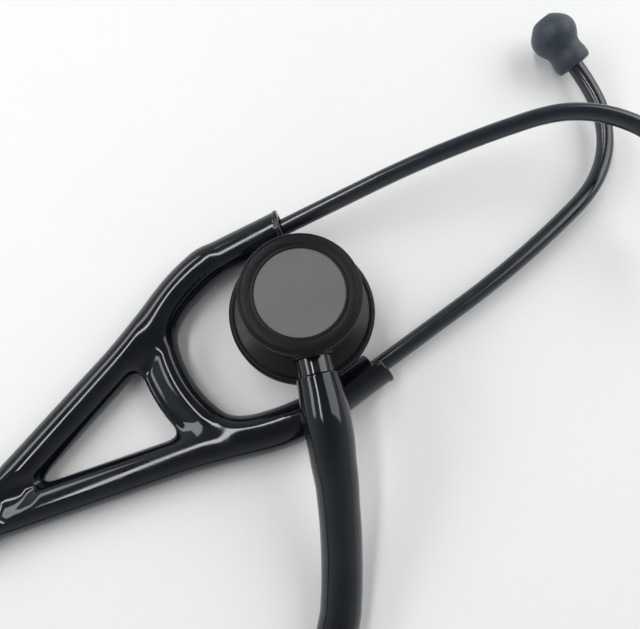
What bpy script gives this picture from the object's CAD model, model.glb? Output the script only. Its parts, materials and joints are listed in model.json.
"""A dual-head stethoscope on a pale table: the looks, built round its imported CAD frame."""

import json
import math

import bpy
import numpy as np
from mathutils import Matrix, Vector


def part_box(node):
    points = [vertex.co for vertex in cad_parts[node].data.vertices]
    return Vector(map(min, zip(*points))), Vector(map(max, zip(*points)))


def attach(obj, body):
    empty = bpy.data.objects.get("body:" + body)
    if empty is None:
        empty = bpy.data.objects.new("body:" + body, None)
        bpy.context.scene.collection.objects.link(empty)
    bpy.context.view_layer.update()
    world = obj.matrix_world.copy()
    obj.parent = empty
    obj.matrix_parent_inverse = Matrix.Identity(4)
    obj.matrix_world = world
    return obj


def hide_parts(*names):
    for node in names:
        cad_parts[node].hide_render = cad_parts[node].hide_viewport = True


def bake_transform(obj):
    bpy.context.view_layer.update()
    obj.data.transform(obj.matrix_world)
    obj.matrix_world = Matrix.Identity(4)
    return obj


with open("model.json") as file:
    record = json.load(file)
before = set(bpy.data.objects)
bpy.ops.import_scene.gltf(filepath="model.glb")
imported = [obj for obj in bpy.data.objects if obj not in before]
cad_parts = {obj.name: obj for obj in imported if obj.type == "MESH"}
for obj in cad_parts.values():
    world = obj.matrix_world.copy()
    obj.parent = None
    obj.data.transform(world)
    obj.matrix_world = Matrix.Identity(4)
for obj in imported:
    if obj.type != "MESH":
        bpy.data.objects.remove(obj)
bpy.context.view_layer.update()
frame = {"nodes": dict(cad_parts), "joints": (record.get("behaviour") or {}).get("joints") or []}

MM = 0.001

# ---- Places, worked out from the frame's joints ------------------------------------------------

joints = {j["name"]: j for j in frame["joints"]}
left_shoulder = Vector(joints["left_swing"]["pos_m"])
right_shoulder = Vector(joints["right_swing"]["pos_m"])
head = Vector(joints["head_turn"]["pos_m"])
stem_axis = Vector(joints["head_turn"]["axis"]).normalized()

ARM_R = 6.2
ARM_ROOT_X = -24.0
SHOULDER = np.array([80.05, 31.81])
crotch = Vector((left_shoulder.x - SHOULDER[0] * MM, (left_shoulder.y + right_shoulder.y) / 2, 0))
axis_height = left_shoulder.z


def head_place():
    """The chestpiece's own frame: X along the stem, Z through both faces."""
    turn = Matrix.Rotation(math.atan2(stem_axis.y, stem_axis.x), 4, "Z")
    return Matrix.Translation(head) @ turn


# ---- Camera ------------------------------------------------------------------------------------

CAMERA_AT = (78.7, -45.8, 219.2)     # from the crotch, millimetres
CAMERA_RIGHT = (0.823, -0.568, 0)
CAMERA_UP = (0.553, 0.802, 0.225)
LENS = 36.3


def make_camera():
    camera = bpy.data.objects.new("camera", bpy.data.cameras.new("camera"))
    bpy.context.scene.collection.objects.link(camera)
    right = Vector(CAMERA_RIGHT).normalized()
    up = Vector(CAMERA_UP)
    up = (up - up.dot(right) * right).normalized()
    turn = Matrix((right, up, right.cross(up))).transposed().to_4x4()
    camera.matrix_world = Matrix.Translation(crotch + Vector(CAMERA_AT) * MM) @ turn
    camera.data.lens = LENS
    camera.data.sensor_width = 36
    camera.data.clip_start = 0.01
    bpy.context.scene.camera = camera


# ---- Meshes ------------------------------------------------------------------------------------

def mesh_piece(name, points, faces, normals=None, sharp=None):
    """A smooth-shaded mesh object from points in metres. Edges over sharp degrees stay crisp."""
    data = bpy.data.meshes.new(name)
    data.from_pydata([tuple(p) for p in points], [], [tuple(f) for f in faces])
    data.validate()
    data.shade_smooth()
    if sharp:
        data.set_sharp_from_angle(angle=math.radians(sharp))
    if normals is not None:
        data.normals_split_custom_set_from_vertices([tuple(n) for n in normals])
    piece = bpy.data.objects.new(name, data)
    bpy.context.scene.collection.objects.link(piece)
    return piece


def unit(v):
    return v / np.linalg.norm(v, axis=-1, keepdims=True)


def smooth_route(points, parts):
    """A Catmull-Rom curve through the points, the same one that the CAD hose follows."""
    p = np.array(points, float)
    route = []
    for i in range(len(p) - 1):
        a, b, c, d = p[max(i - 1, 0)], p[i], p[i + 1], p[min(i + 2, len(p) - 1)]
        for k in range(parts):
            t = k / parts
            route.append(0.5 * (2 * b + (c - a) * t + (2 * a - 5 * b + 4 * c - d) * t * t
                                + (3 * b - 3 * c + d - a) * t ** 3))
    return np.array(route + [p[-1]])


def even_steps(route, step):
    """The same route, with points about a step apart."""
    at = np.concatenate([[0], np.cumsum(np.linalg.norm(np.diff(route, axis=0), axis=1))])
    wanted = np.linspace(0, at[-1], int(round(at[-1] / step)) + 1)
    return np.stack([np.interp(wanted, at, route[:, k]) for k in range(3)], axis=1), wanted


def sweep(name, route, radii, sides=56):
    """A closed tube along a route."""
    along = unit(np.gradient(route, axis=0))
    across = unit(np.cross([0, 0, 1], along))
    up = np.cross(along, across)
    turn = 2 * math.pi * np.arange(sides) / sides
    rings = (route[:, None] + radii[:, None, None]
             * (np.cos(turn)[None, :, None] * across[:, None]
                + np.sin(turn)[None, :, None] * up[:, None]))
    points = rings.reshape(-1, 3).tolist()
    faces = []
    for i in range(len(route) - 1):
        for k in range(sides):
            a, b = i * sides + k, i * sides + (k + 1) % sides
            faces.append((a, b, b + sides, a + sides))
    faces.append(tuple(range(sides - 1, -1, -1)))
    last = (len(route) - 1) * sides
    faces.append(tuple(last + k for k in range(sides)))
    return mesh_piece(name, points, faces)


def lathe(name, profile, place, segments=144):
    """A turned piece: an open outline of (along Z, radius) in millimetres, spun about Z."""
    rows = np.array(profile, float) * MM
    turn = 2 * math.pi * np.arange(segments) / segments
    points = [place @ Vector((r * math.cos(a), r * math.sin(a), z)) for z, r in rows for a in turn]
    faces = []
    for i in range(len(rows)):
        j = (i + 1) % len(rows)
        for k in range(segments):
            n = (k + 1) % segments
            faces.append((i * segments + k, i * segments + n, j * segments + n, j * segments + k))
    return mesh_piece(name, points, faces, sharp=48)


# ---- Skins: smooth moulded shapes, as the zero surface of a distance field ----------------------

def smooth_min(a, b, width):
    overlap = np.maximum(width - np.abs(a - b), 0) / width
    return np.minimum(a, b) - overlap * overlap * width / 4


def smooth_max(a, b, width):
    return -smooth_min(-a, -b, width)


FAR = 25.0


def chain_distance(p, route):
    """Distance from points to a line of straight pieces, capped at FAR."""
    best = np.full(len(p), FAR)
    low, high = p[:, 0].min() - FAR, p[:, 0].max() + FAR
    for a, b in zip(route[:-1], route[1:]):
        if max(a[0], b[0]) < low or min(a[0], b[0]) > high:
            continue
        d = b - a
        t = np.clip((p - a) @ d / (d @ d), 0, 1)
        best = np.minimum(best, np.linalg.norm(p - a - t[:, None] * d, axis=1))
    return best


def skin_mesh(field, low, high, step):
    """The surface where field is 0, as quads: points, faces and outward normals."""
    low = np.array(low, float)
    count = np.ceil((np.array(high) - low) / step).astype(int) + 1
    axes = [low[k] + step * np.arange(count[k]) for k in range(3)]
    value = np.empty(count)
    flat_y, flat_z = [g.ravel() for g in np.meshgrid(axes[1], axes[2], indexing="ij")]
    for i, x in enumerate(axes[0]):
        value[i] = field(np.stack([np.full(flat_y.shape, x), flat_y, flat_z], 1)).reshape(count[1:])
    inside = value < 0
    corners = [(i, j, k) for i in (0, 1) for j in (0, 1) for k in (0, 1)]
    total = sum(inside[i:count[0] - 1 + i, j:count[1] - 1 + j, k:count[2] - 1 + k].astype(int)
                for i, j, k in corners)
    active = (total > 0) & (total < 8)
    cells = np.argwhere(active)
    number = np.full(active.shape, -1)
    number[active] = np.arange(len(cells))
    places, crossings = np.zeros((len(cells), 3)), np.zeros(len(cells))
    for a in corners:
        for axis in range(3):
            if a[axis]:
                continue
            b = tuple(a[k] + (k == axis) for k in range(3))
            at_a, at_b = cells + a, cells + b
            fa, fb = value[tuple(at_a.T)], value[tuple(at_b.T)]
            cut = (fa < 0) != (fb < 0)
            share = fa[cut] / (fa[cut] - fb[cut])
            places[cut] += at_a[cut] + share[:, None] * (np.array(b) - a)
            crossings[cut] += 1
    points = low + step * places / crossings[:, None]
    for _ in range(3):
        normal, f = field_normal(field, points)
        points -= np.clip(f, -step, step)[:, None] * normal
    normal, _ = field_normal(field, points)
    faces = []
    for axis in range(3):
        u, v = (axis + 1) % 3, (axis + 2) % 3
        ahead = np.roll(inside, -1, axis)
        edge = np.argwhere(inside != ahead)
        ok = (edge[:, u] > 0) & (edge[:, v] > 0) & (edge[:, axis] < count[axis] - 1)
        ok &= (edge[:, u] < count[u] - 1) & (edge[:, v] < count[v] - 1)
        edge = edge[ok]
        eu, ev = np.eye(3, dtype=int)[u], np.eye(3, dtype=int)[v]
        quads = np.stack([number[tuple((edge - s).T)] for s in (eu + ev, ev, 0 * eu, eu)], 1)
        outward = inside[tuple(edge.T)]
        faces.append(np.where(outward[:, None], quads, quads[:, ::-1]))
    return points, np.concatenate(faces), normal


def field_normal(field, p, h=0.02):
    gradient = np.stack([(field(p + h * e) - field(p - h * e)) / (2 * h) for e in np.eye(3)], 1)
    size = np.maximum(np.linalg.norm(gradient, axis=1, keepdims=True), 1e-6)
    return gradient / size, field(p) / size[:, 0]


# ---- Hose --------------------------------------------------------------------------------------

HOSE_D = 12.7
# The route of the CAD hose, in metres from the crotch: the stem's mouth, a loop, the yoke's stub
HOSE_ROUTE = [
    (0.0926, -0.0242, 0.0274), (0.0888, -0.0335, 0.0272), (0.0855, -0.0413, 0.026),
    (0.0824, -0.0475, 0.024), (0.0798, -0.053, 0.0218), (0.077, -0.058, 0.0195),
    (0.0742, -0.063, 0.017), (0.0712, -0.068, 0.0145), (0.068, -0.073, 0.012),
    (0.0646, -0.078, 0.01), (0.061, -0.0829, 0.0084), (0.057, -0.0876, 0.0072),
    (0.048, -0.0953, 0.0064), (0.038, -0.1008, 0.0064), (0.026, -0.1048, 0.0064),
    (0.012, -0.1069, 0.0064), (-0.004, -0.1073, 0.0064), (-0.022, -0.1073, 0.0064),
    (-0.04, -0.1073, 0.0064), (-0.056, -0.1053, 0.0064), (-0.071, -0.0983, 0.0064),
    (-0.083, -0.0873, 0.0064), (-0.0915, -0.0733, 0.0064), (-0.095, -0.0573, 0.0064),
    (-0.094, -0.0403, 0.0064), (-0.088, -0.0253, 0.0064), (-0.0775, -0.0128, 0.0064),
    (-0.063, -0.0038, 0.0064), (-0.05, -0.0005, 0.0064), (-0.0409, 0, 0.0064)]
MOUTH_R, BARB_R = 6.5, 7.3
BARB_AT, BARB_END = 12.0, 42.0


def hose_radius(at):
    """Radius along the hose: its rolled mouth, the bulge over the barb, then the plain tube."""
    radius = np.full(len(at), HOSE_D / 2)
    rise = np.clip(at / BARB_AT, 0, 1)
    fall = np.clip((at - BARB_AT) / (BARB_END - BARB_AT), 0, 1)
    rise, fall = rise * rise * (3 - 2 * rise), fall * fall * (3 - 2 * fall)
    near = at < BARB_END
    radius[near] = (MOUTH_R + (BARB_R - MOUTH_R) * rise - (BARB_R - HOSE_D / 2) * fall)[near]
    lip = np.clip(1 - at / 0.7, 0, 1)
    return radius - 0.35 * lip * lip


def make_hose(material):
    route = smooth_route(np.array(HOSE_ROUTE) + np.array(crotch), 8)
    fine, at = even_steps(route, 1.0 * MM)
    lip = fine[0] + (fine[1] - fine[0]) * np.linspace(0, 1, 6)[:-1, None]
    fine = np.concatenate([lip, fine[1:]])
    at = np.concatenate([np.linspace(0, at[1], 6)[:-1], at[1:]])
    hose = sweep("hose", fine, hose_radius(at / MM) * MM)
    hose.data.materials.append(material)
    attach(hose, "headset")
    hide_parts("main_tube")


# ---- Yoke --------------------------------------------------------------------------------------

# Millimetres from the crotch, with Z from the arms' axis
ARM_ANGLE = math.radians(15.5)
ARM_STRAIGHT, ARM_BEND_R, ARM_BEND = 66.0, 150.0, math.radians(4.35)
STUB = 40.9
WEB_CENTRE_X, RIDGE_ARC_R, RIDGE_ARC = 99.5, 44.5, math.asin(0.352)
RIDGE_R, CORNER_R, CORNER_ARC = 4.5, 19.1, math.asin(0.8)
FLANGE_R, FLANGE_HALF, FLANGE_ROUND = 49.4, 4.6, 1.7
COLLAR, SHOULDER_ROUND = 33.5, 11.0
TUBE_R = 2.9
# How each collar lies at rest: the left turned inwards and raised, the right nearly straight
LEFT_TURN, LEFT_RAISE, RIGHT_TURN = math.radians(-10), math.radians(-8.5), math.radians(1.5)
# The corners of the box that the skin is worked out in, and how far its blend reaches from a shoulder
SKIN_LOW, SKIN_HIGH = (-43.5, -42, -7.4), (121, 44.5, 14)
# The moulded recess in the crotch
POCKET_HEIGHT, POCKET_R = 9.4, 5.0


def turned(angle):
    return np.array([math.cos(angle), math.sin(angle), 0])


def arm_route():
    """The left arm's centreline, from inside the stub to the shoulder."""
    start = np.array([ARM_ROOT_X, 0, 0])
    elbow = start + ARM_STRAIGHT * turned(ARM_ANGLE)
    side = turned(ARM_ANGLE + math.pi / 2)
    bend = [elbow + ARM_BEND_R * (side - turned(ARM_ANGLE + math.pi / 2 + a))
            for a in np.linspace(0, ARM_BEND, 6)]
    return np.array([start] + bend + [np.array([SHOULDER[0], SHOULDER[1], 0])])


def corner(a, b, c, reach, parts=9):
    """A smooth turn at b, from reach before it to reach after it."""
    start = b + (a - b) / np.linalg.norm(a - b) * reach
    end = b + (c - b) / np.linalg.norm(c - b) * reach
    return [(1 - t) ** 2 * start + 2 * t * (1 - t) * b + t * t * end for t in np.linspace(0, 1, parts)]


def web_route():
    """The ridge of the U, from one arm round to the other."""
    bottom = [np.array([WEB_CENTRE_X - RIDGE_ARC_R * math.cos(a), RIDGE_ARC_R * math.sin(a), 0])
              for a in np.linspace(0, RIDGE_ARC, 11)]
    centre = np.array([WEB_CENTRE_X - (RIDGE_ARC_R - CORNER_R) * math.cos(RIDGE_ARC),
                       (RIDGE_ARC_R - CORNER_R) * math.sin(RIDGE_ARC), 0])
    bend = [centre + CORNER_R * np.array([-math.cos(a), math.sin(a), 0])
            for a in np.linspace(RIDGE_ARC, RIDGE_ARC + CORNER_ARC, 14)]
    tail = [bend[-1] + k * np.array([0.96, 0.28, 0]) for k in (6.0, 14.0)]
    half = bottom + bend[1:] + tail
    return np.array([p * [1, -1, 1] for p in reversed(half[1:])] + half)


def collar_heading(side):
    """Direction of the collar on that side, in the headset's frame."""
    if side > 0:
        turn = Matrix.Rotation(LEFT_TURN, 3, "Z") @ Matrix.Rotation(LEFT_RAISE, 3, "Y")
    else:
        turn = Matrix.Rotation(RIGHT_TURN, 3, "Z")
    return np.array(turn @ Vector((1, 0, 0)))


class Yoke:
    """The moulded yoke as a distance field."""

    def __init__(self):
        arm = arm_route()
        self.arms, self.collars = [], []
        for side in (1, -1):
            one = arm * [1, side, 1]
            heading = collar_heading(side)
            end = one[-1] + COLLAR * heading
            turn = corner(one[-2], one[-1], end, SHOULDER_ROUND)
            self.arms.append(np.array(list(one[:-1]) + turn + [end + 6 * heading]))
            self.collars.append((one[-1], end, heading, side))
        self.web = web_route()
        self.stub = np.array([[-STUB - 6, 0, 0], [-10, 0, 0]])
        self.pocket = np.array([[-9.5, 0, POCKET_HEIGHT], [-3.5, 0, POCKET_HEIGHT]])

    def __call__(self, p):
        arms = smooth_min(chain_distance(p, self.arms[0]), chain_distance(p, self.arms[1]), 4.5)
        body = smooth_min(arms - ARM_R, chain_distance(p, self.stub) - HOSE_D / 2, 3)
        rho = np.hypot(p[:, 0] - WEB_CENTRE_X, p[:, 1])
        q = np.stack([np.abs(rho - FLANGE_R) - FLANGE_HALF + FLANGE_ROUND,
                      np.abs(p[:, 2] + 0.9) - 2.7 + FLANGE_ROUND, np.abs(p[:, 1]) - 15], 1)
        flange = np.linalg.norm(np.maximum(q, 0), axis=1) + np.minimum(q.max(1), 0) - FLANGE_ROUND
        web = smooth_min(flange, chain_distance(p, self.web) - RIDGE_R, 4.5)
        body = smooth_min(body, web, 5)
        body = smooth_max(body, POCKET_R - chain_distance(p, self.pocket), 3)
        body = smooth_max(body, -ARM_R - p[:, 2], 0.8)
        body = smooth_max(body, -STUB - p[:, 0], 0.8)
        for shoulder, end, heading, side in self.collars:
            near = p @ heading > (end @ heading) - 14
            near &= p[:, 1] * side > 0
            across = np.cross([0, 0, 1], heading) * side
            lean = unit(heading - 0.12 * across)
            along = (p - end) @ lean
            cut = smooth_max(body, along, 1.0)
            off = p - end
            radial = np.linalg.norm(off - (off @ heading)[:, None] * heading, axis=1)
            lip = np.hypot(radial - ARM_R + 0.2, along + 0.8) - 0.5
            cut = smooth_min(cut, lip, 0.8)
            if side < 0:
                step_back = np.minimum(off @ heading + 2.8, -off @ across - 1.2)
                cut = smooth_max(cut, step_back, 0.6)
            mouth = smooth_max(radial - 4.3, -2.2 - off @ heading, 0.8)
            bore = np.minimum(mouth, np.maximum(radial - TUBE_R - 0.05, -16 - off @ heading))
            body = np.where(near, smooth_max(cut, -bore, 0.7), body)
        return np.maximum(body, -ARM_R - p[:, 2])


def make_yoke(material):
    yoke = Yoke()
    step = 0.6
    points, faces, normals = skin_mesh(yoke, SKIN_LOW, SKIN_HIGH, step)
    sides = points[faces].mean(axis=1)[:, 1] > 0
    shift = np.array(crotch) + [0, 0, axis_height]
    places = {1: ("left", left_shoulder, "left_binaural"), -1: ("right", right_shoulder, "right_binaural")}
    for side, (word, shoulder, body) in places.items():
        chosen = faces[sides if side > 0 else ~sides]
        used, renumbered = np.unique(chosen, return_inverse=True)
        piece = mesh_piece(f"yoke_{word}_half", points[used] * MM + shift,
                           renumbered.reshape(chosen.shape), normals[used])
        piece.data.materials.append(material)
        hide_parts(f"{word}_sleeve", *(["yoke"] if side > 0 else []))
        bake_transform(piece)


# ---- Ear tubes ---------------------------------------------------------------------------------

TUBE_START = 8.0
SLIGHT = math.asin(0.07584)
# Steps of a tube: (length, 0, roll) is straight and (radius, angle, roll) bends to the left
TUBE_STEPS = [(59, 0, 0), (370, SLIGHT, 0), (370, SLIGHT, 0), (56, SLIGHT, 0), (56, SLIGHT, 0)]
UPTURN_ROLL = math.asin(0.6)
TUBE_ENDS = {
    "left": [(39, math.asin(0.96), 0), (4, 0, 0)],
    "right": [(39, math.asin(0.8432), 0), (1, 0, 0), (30, math.asin(0.352), UPTURN_ROLL), (4, 0, 0)]}


def shoulder_place(side):
    """The frame of a binaural at its shoulder. The left one is mirrored."""
    if side > 0:
        turn = Matrix.Rotation(LEFT_TURN, 4, "Z") @ Matrix.Rotation(LEFT_RAISE, 4, "Y")
        return Matrix.Translation(left_shoulder) @ turn @ Matrix.Scale(-1, 4, (0, 1, 0))
    return Matrix.Translation(right_shoulder) @ Matrix.Rotation(RIGHT_TURN, 4, "Z")


def tube_route(place, steps):
    """Points along an ear tube's centreline, a little over a millimetre apart."""
    here = Matrix.Translation((TUBE_START, 0, 0))
    local = [here.translation.copy()]
    for size, angle, roll in steps:
        here = here @ Matrix.Rotation(roll, 4, "X")
        parts = max(2, int((size * angle if angle else size) / 1.2))
        for k in range(parts):
            t = (k + 1) / parts
            if angle:
                bend = Matrix.Rotation(angle * t, 4, "Z")
                at = here @ Matrix.Translation((0, size, 0)) @ bend @ Matrix.Translation((0, -size, 0))
            else:
                at = here @ Matrix.Translation((size * t, 0, 0))
            local.append(at.translation.copy())
        here = at
    return np.array([place @ (p * MM) for p in local])


def make_ear_tube(word, side, material):
    route = tube_route(shoulder_place(side), TUBE_STEPS + TUBE_ENDS[word])
    tube = sweep(f"{word}_binaural_tube", route, np.full(len(route), TUBE_R * MM), 48)
    tube.data.materials.append(material)
    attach(tube, f"{word}_binaural")
    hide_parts(f"{word}_ear_tube")


# ---- Chestpiece rims ---------------------------------------------------------------------------

def ring_marks(low, high, z, crown, marks, depth=0.045):
    """A convex band of a turned piece, with shallow concentric lines cut in it."""
    rows = []
    for k in range(4 * marks + 1):
        t = k / (4 * marks)
        dip = depth if k % 4 == 2 else 0
        rows.append((z + crown * (1 - (2 * t - 1) ** 2) - dip, low + (high - low) * t))
    return rows


# The pediatric rim's lip lies over its diaphragm's edge, just clear of it
LIP_Z = 13.75
PEDIATRIC_RIM = (
    [(12.7, 14.0), (LIP_Z, 14.0), (LIP_Z + 0.02, 13.3), (LIP_Z + 0.08, 13.2),
     (LIP_Z + 0.15, 13.3), (LIP_Z + 0.2, 13.8)]
    + ring_marks(14.2, 17.0, 13.8, 0.22, 7)
    + [(13.68, 17.2), (13.5, 17.25), (13.5, 17.45), (13.6, 17.55), (13.55, 17.75), (13.3, 18.05),
       (12.9, 18.2), (12.4, 18.22), (11.3, 18.22), (11.15, 18.05), (10.85, 18.05), (10.7, 18.22),
       (9.8, 18.2), (9.2, 18.1), (8.8, 17.8), (8.62, 17.3), (8.7, 16.95), (9.45, 17.45),
       (12.3, 17.45), (12.35, 14.8)])
ADULT_RIM = (
    [(-12.35, 20.75), (-13.2, 20.75), (-13.45, 20.9), (-13.5, 21.3), (-13.5, 22.4), (-13.35, 22.95),
     (-12.9, 23.35), (-12.3, 23.5), (-10.9, 23.5), (-10.75, 23.36), (-10.55, 23.36), (-10.4, 23.5),
     (-9.9, 23.48), (-9.3, 23.3), (-8.85, 22.95)]
    + ring_marks(21.75, 22.7, -8.55, 0.12, 2, 0.03)[::-1]
    + [(-8.5, 21.6), (-8.6, 21.55), (-9.6, 22.25), (-12.2, 22.25)])


def make_rim(name, node, profile, material):
    rim = lathe(name, profile, head_place(), 192)
    rim.data.materials.append(material)
    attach(rim, "head")
    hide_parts(node)


# ---- Ear tips ----------------------------------------------------------------------------------

# (along, radius) in millimetres from the ear tube's end: skirt, waist, ball and sound hole
TIP_OUTLINE = [
    (0.45, 4.1), (0.35, 4.9), (0.5, 5.6), (1.0, 6.1), (1.9, 6.32), (3.2, 6.38), (4.8, 6.28),
    (6.2, 6.0), (7.4, 5.95), (8.5, 6.25), (9.7, 6.9), (10.9, 7.55), (12.3, 8.05), (13.8, 8.2),
    (15.3, 8.08), (16.7, 7.6), (18.0, 6.85), (19.2, 5.8), (20.2, 4.75), (20.9, 3.95), (21.25, 3.4),
    (21.3, 2.95), (21.0, 2.6), (20.2, 2.45), (13.0, 2.2), (9.1, 2.2), (9.05, 4.05)]


# From the tip insert's middle back to the outline's start, in millimetres
INSERT_MIDDLE = 4.6


def make_tip(word, material):
    joint = joints[f"{word}_tip_pull"]
    axis = Vector(joint["axis"])
    low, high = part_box(f"{word}_tip_insert")
    centre = (low + high) / 2
    turn = axis.to_track_quat("Z", "Y").to_matrix().to_4x4()
    place = Matrix.Translation(centre - axis * INSERT_MIDDLE * MM) @ turn
    tip = lathe(f"{word}_soft_tip", TIP_OUTLINE, place, 96)
    tip.data.materials.append(material)
    smooth = tip.modifiers.new("smooth", "SUBSURF")
    smooth.levels = smooth.render_levels = 1
    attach(tip, f"{word}_tip")
    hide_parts(f"{word}_ear_tip")


# ---- Materials ---------------------------------------------------------------------------------

class Finish:
    """A procedural material: small variations of colour, roughness and height over one base."""

    def __init__(self, name, roughness, metallic=0.0, specular=0.5):
        self.material = bpy.data.materials.new(name)
        self.material.use_nodes = True
        self.tree = self.material.node_tree
        self.shader = self.tree.nodes["Principled BSDF"]
        self.shader.inputs["Roughness"].default_value = roughness
        self.shader.inputs["Metallic"].default_value = metallic
        self.shader.inputs["Specular IOR Level"].default_value = specular
        self.place = self.tree.nodes.new("ShaderNodeTexCoord").outputs["Object"]

    def link(self, a, b):
        self.tree.links.new(a, b)

    def noise(self, scale, detail=3.0, roughness=0.5):
        node = self.tree.nodes.new("ShaderNodeTexNoise")
        node.inputs["Scale"].default_value = scale
        node.inputs["Detail"].default_value = detail
        node.inputs["Roughness"].default_value = roughness
        self.link(self.place, node.inputs["Vector"])
        return node.outputs["Fac"]

    def spots(self, scale, size):
        """Sparse little specks: 1 inside a speck and 0 elsewhere."""
        node = self.tree.nodes.new("ShaderNodeTexVoronoi")
        node.inputs["Scale"].default_value = scale
        self.link(self.place, node.inputs["Vector"])
        return self.ramp(node.outputs["Distance"], size, size * 0.6, 0, 1)

    def ramp(self, value, from_low, from_high, to_low, to_high):
        node = self.tree.nodes.new("ShaderNodeMapRange")
        for name, x in (("From Min", from_low), ("From Max", from_high),
                        ("To Min", to_low), ("To Max", to_high)):
            node.inputs[name].default_value = x
        self.link(value, node.inputs["Value"])
        return node.outputs["Result"]

    def math(self, kind, a, b):
        node = self.tree.nodes.new("ShaderNodeMath")
        node.operation = kind
        for socket, x in zip(node.inputs, (a, b)):
            if isinstance(x, (int, float)):
                socket.default_value = x
            else:
                self.link(x, socket)
        return node.outputs["Value"]

    def colours(self, value, low, high):
        node = self.tree.nodes.new("ShaderNodeMix")
        node.data_type = "RGBA"
        node.inputs["A"].default_value = (*low, 1)
        node.inputs["B"].default_value = (*high, 1)
        self.link(value, node.inputs["Factor"])
        self.link(node.outputs["Result"], self.shader.inputs["Base Color"])

    def rough(self, value, low, high):
        self.link(self.ramp(value, 0.3, 0.7, low, high), self.shader.inputs["Roughness"])

    def bump(self, *layers):
        """Each layer is (height 0 to 1, depth in millimetres)."""
        normal = None
        for value, depth in layers:
            node = self.tree.nodes.new("ShaderNodeBump")
            node.inputs["Distance"].default_value = depth * MM
            self.link(value, node.inputs["Height"])
            if normal is not None:
                self.link(normal, node.inputs["Normal"])
            normal = node.outputs["Normal"]
        self.link(normal, self.shader.inputs["Normal"])


def soft_pvc():
    """Glossy near-black moulded vinyl, with faint swirls, dust and wiped patches."""
    f = Finish("soft_pvc", 0.1, specular=0.5)
    wiped = f.noise(90, 4, 0.6)
    dust = f.spots(2600, 0.13)
    f.colours(f.math("MAXIMUM", f.ramp(wiped, 0.35, 0.7, 0, 0.45), f.math("MULTIPLY", dust, 0.6)),
              (0.0018, 0.0028, 0.0055), (0.0065, 0.0086, 0.0135))
    f.rough(wiped, 0.06, 0.14)
    f.bump((f.noise(150, 2, 0.4), 0.004), (f.noise(1500, 3, 0.55), 0.001))
    return f.material


def anodised_tube():
    """Black anodised ear tube with drawing lines and a satin sheen."""
    f = Finish("anodised_tube", 0.2, specular=0.7)
    lines = f.noise(700, 3, 0.5)
    f.colours(lines, (0.0035, 0.0048, 0.0085), (0.0085, 0.011, 0.0175))
    f.rough(f.noise(160, 4, 0.6), 0.14, 0.24)
    f.bump((lines, 0.0018),)
    return f.material


def machined_black():
    """Satin black coated steel with turning marks."""
    f = Finish("machined_black", 0.34, specular=0.32)
    grain = f.noise(1300, 4, 0.6)
    f.colours(f.noise(140, 4, 0.6), (0.0028, 0.0032, 0.0038), (0.0068, 0.0074, 0.0082))
    f.rough(f.noise(240, 3, 0.6), 0.26, 0.38)
    f.bump((grain, 0.004),)
    return f.material


def polished_black():
    """Glossy black stem."""
    f = Finish("polished_black", 0.1, specular=0.7)
    f.colours(f.noise(300, 3, 0.5), (0.003, 0.0034, 0.004), (0.008, 0.0088, 0.0098))
    f.rough(f.noise(260, 3, 0.6), 0.07, 0.14)
    f.bump((f.noise(1100, 3, 0.5), 0.0015),)
    return f.material


def rim_rubber():
    """Satin black rim of the chestpiece."""
    f = Finish("rim_rubber", 0.36, specular=0.18)
    scuff = f.ramp(f.noise(260, 5, 0.7), 0.55, 0.8, 0, 1)
    f.colours(f.math("MAXIMUM", f.math("MULTIPLY", f.noise(420, 4, 0.6), 0.6), scuff),
              (0.003, 0.0036, 0.004), (0.0095, 0.0105, 0.0112))
    f.rough(f.noise(200, 4, 0.6), 0.29, 0.42)
    f.bump((f.noise(1800, 4, 0.6), 0.004),)
    return f.material


def grey_film():
    """Matte grey pediatric diaphragm with a fine grain."""
    f = Finish("grey_film", 0.5, specular=0.4)
    grain = f.noise(2400, 4, 0.7)
    broad = f.noise(120, 3, 0.5)
    f.colours(f.math("ADD", f.math("MULTIPLY", grain, 0.6), f.math("MULTIPLY", broad, 0.4)),
              (0.088, 0.089, 0.09), (0.132, 0.133, 0.134))
    f.rough(broad, 0.42, 0.56)
    f.bump((grain, 0.008),)
    return f.material


def black_film():
    """Adult diaphragm: smooth black film with light scuffs."""
    f = Finish("black_film", 0.3, specular=0.5)
    f.colours(f.noise(260, 4, 0.7), (0.008, 0.008, 0.009), (0.02, 0.02, 0.022))
    f.rough(f.noise(500, 5, 0.7), 0.22, 0.42)
    f.bump((f.noise(1600, 3, 0.6), 0.003),)
    return f.material


def silicone():
    """Soft dark blue-grey silicone with a dry, dusty bloom."""
    f = Finish("silicone", 0.5, specular=0.45)
    bloom = f.noise(380, 5, 0.65)
    specks = f.spots(3200, 0.14)
    f.colours(f.math("MAXIMUM", f.ramp(bloom, 0.35, 0.75, 0, 0.7), specks),
              (0.018, 0.026, 0.04), (0.036, 0.047, 0.066))
    f.rough(bloom, 0.42, 0.58)
    f.bump((f.noise(900, 4, 0.6), 0.012), (f.noise(3600, 2, 0.5), 0.003))
    f.shader.inputs["Sheen Weight"].default_value = 0.15
    f.shader.inputs["Sheen Roughness"].default_value = 0.5
    return f.material


def plain_metal(name, low, high, roughness):
    """Bare metal of the small inner pieces, with fine drawing marks."""
    f = Finish(name, roughness, metallic=1.0)
    f.colours(f.noise(600, 4, 0.6), low, high)
    f.rough(f.noise(900, 3, 0.6), roughness * 0.8, roughness * 1.2)
    f.bump((f.noise(2200, 3, 0.5), 0.002),)
    return f.material


def seal_rubber():
    """Matte black rubber of the stem's seals."""
    f = Finish("seal_rubber", 0.6, specular=0.4)
    f.colours(f.noise(900, 3, 0.6), (0.012, 0.012, 0.012), (0.025, 0.025, 0.025))
    f.bump((f.noise(2600, 3, 0.6), 0.004),)
    return f.material


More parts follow.
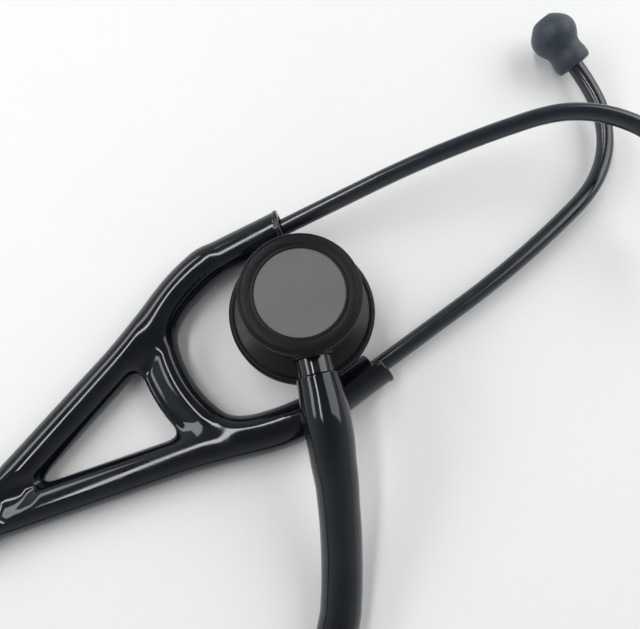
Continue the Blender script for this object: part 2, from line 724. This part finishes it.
def pale_paint():
    """Pale paint of the index dot."""
    f = Finish("pale_paint", 0.5)
    f.colours(f.noise(1500, 3, 0.6), (0.5, 0.52, 0.54), (0.68, 0.7, 0.72))
    f.bump((f.noise(2600, 3, 0.6), 0.004),)
    return f.material


def table_top():
    """Off-white laminate."""
    f = Finish("table_top", 0.5, specular=0.35)
    f.colours(f.noise(6, 3, 0.5), (0.785, 0.78, 0.765), (0.825, 0.82, 0.805))
    f.rough(f.noise(40, 3, 0.5), 0.45, 0.55)
    f.bump((f.noise(900, 4, 0.6), 0.006),)
    return f.material


def coat_nodes(finishes):
    """Gives each CAD node its finish."""
    for name, obj in frame["nodes"].items():
        obj.data.materials.clear()
        obj.data.materials.append(finishes[name])
        obj.data.shade_smooth()


# ---- Light and table ---------------------------------------------------------------------------

def make_table():
    """The floor that everything lies on."""
    size = 3.0
    data = bpy.data.meshes.new("table")
    corners = [(-size, -size, 0), (size, -size, 0), (size, size, 0), (-size, size, 0)]
    data.from_pydata(corners, [], [(0, 1, 2, 3)])
    table = bpy.data.objects.new("table", data)
    bpy.context.scene.collection.objects.link(table)
    data.materials.append(table_top())


def area_light(name, at, along, size, power):
    """A rectangular lamp that faces the object, its longer side along a given direction."""
    lamp = bpy.data.lights.new(name, "AREA")
    lamp.shape = "RECTANGLE"
    lamp.size, lamp.size_y = size
    lamp.energy = power
    obj = bpy.data.objects.new(name, lamp)
    bpy.context.scene.collection.objects.link(obj)
    back = at.normalized()
    side = along.cross(back).normalized()
    turn = Matrix((side, back.cross(side), back)).transposed().to_4x4()
    obj.matrix_world = Matrix.Translation(at) @ turn


def make_world():
    """A dim bluish room: darker overhead than near the horizon."""
    world = bpy.data.worlds.new("studio")
    bpy.context.scene.world = world
    world.use_nodes = True
    tree = world.node_tree
    back = tree.nodes["Background"]
    back.inputs["Color"].default_value = (0.88, 0.945, 1, 1)
    split = tree.nodes.new("ShaderNodeSeparateXYZ")
    tree.links.new(tree.nodes.new("ShaderNodeTexCoord").outputs["Generated"], split.inputs[0])
    height = tree.nodes.new("ShaderNodeMapRange")
    for name, x in (("From Min", 0.25), ("From Max", 0.95), ("To Min", 0.62), ("To Max", 0.2)):
        height.inputs[name].default_value = x
    tree.links.new(split.outputs["Z"], height.inputs["Value"])
    tree.links.new(height.outputs["Result"], back.inputs["Strength"])


def make_light():
    """Two long strips give the twin crisp lines on the black parts, and a soft box fills."""
    make_world()
    right = Vector(CAMERA_RIGHT)
    up = Vector((-CAMERA_RIGHT[1], CAMERA_RIGHT[0], 0))
    for name, x, y, z, size, power in (
            ("strip_one", -0.42, 0.28, 1.14, (0.13, 1.3), 6.2),
            ("strip_two", -0.95, 0.28, 0.76, (0.3, 1.3), 5.4),
            ("soft_box", 1.0, 0.7, 1.0, (1.2, 1.6), 15)):
        area_light(name, right * x + up * y + Vector((0, 0, z)), up, size, power)


# ---- Everything --------------------------------------------------------------------------------

make_camera()
vinyl = soft_pvc()
make_hose(vinyl)

metal = plain_metal("spring_steel", (0.42, 0.42, 0.43), (0.6, 0.6, 0.61), 0.3)
steel = plain_metal("detent_steel", (0.55, 0.55, 0.56), (0.7, 0.7, 0.71), 0.18)
rim, body_black, stem_black, tube_black = (
    rim_rubber(), machined_black(), polished_black(), anodised_tube())
tips = silicone()
coat_nodes({
    "yoke": vinyl, "main_tube": vinyl, "left_sleeve": vinyl, "right_sleeve": vinyl,
    "leaf_spring": metal, "left_spring_leg": metal, "right_spring_leg": metal, "stem_clip": metal,
    "stem": stem_black, "stem_o_rings": seal_rubber(), "index_dot": pale_paint(),
    "chestpiece_body": body_black, "adult_surround": rim, "pediatric_surround": rim,
    "adult_diaphragm": black_film(), "pediatric_diaphragm": grey_film(),
    "detent_ball": steel, "detent_spring": steel, "detent_screw": steel,
    "left_ear_tube": tube_black, "right_ear_tube": tube_black,
    "left_tip_insert": rim, "right_tip_insert": rim,
    "left_ear_tip": tips, "right_ear_tip": tips})
make_yoke(vinyl)
for word, side in (("left", 1), ("right", -1)):
    make_tip(word, tips)
    make_ear_tube(word, side, tube_black)
make_rim("pediatric_rim", "pediatric_surround", PEDIATRIC_RIM, rim)
make_rim("adult_rim", "adult_surround", ADULT_RIM, rim)
make_table()
make_light()
bpy.context.scene.view_settings.view_transform = "Standard"
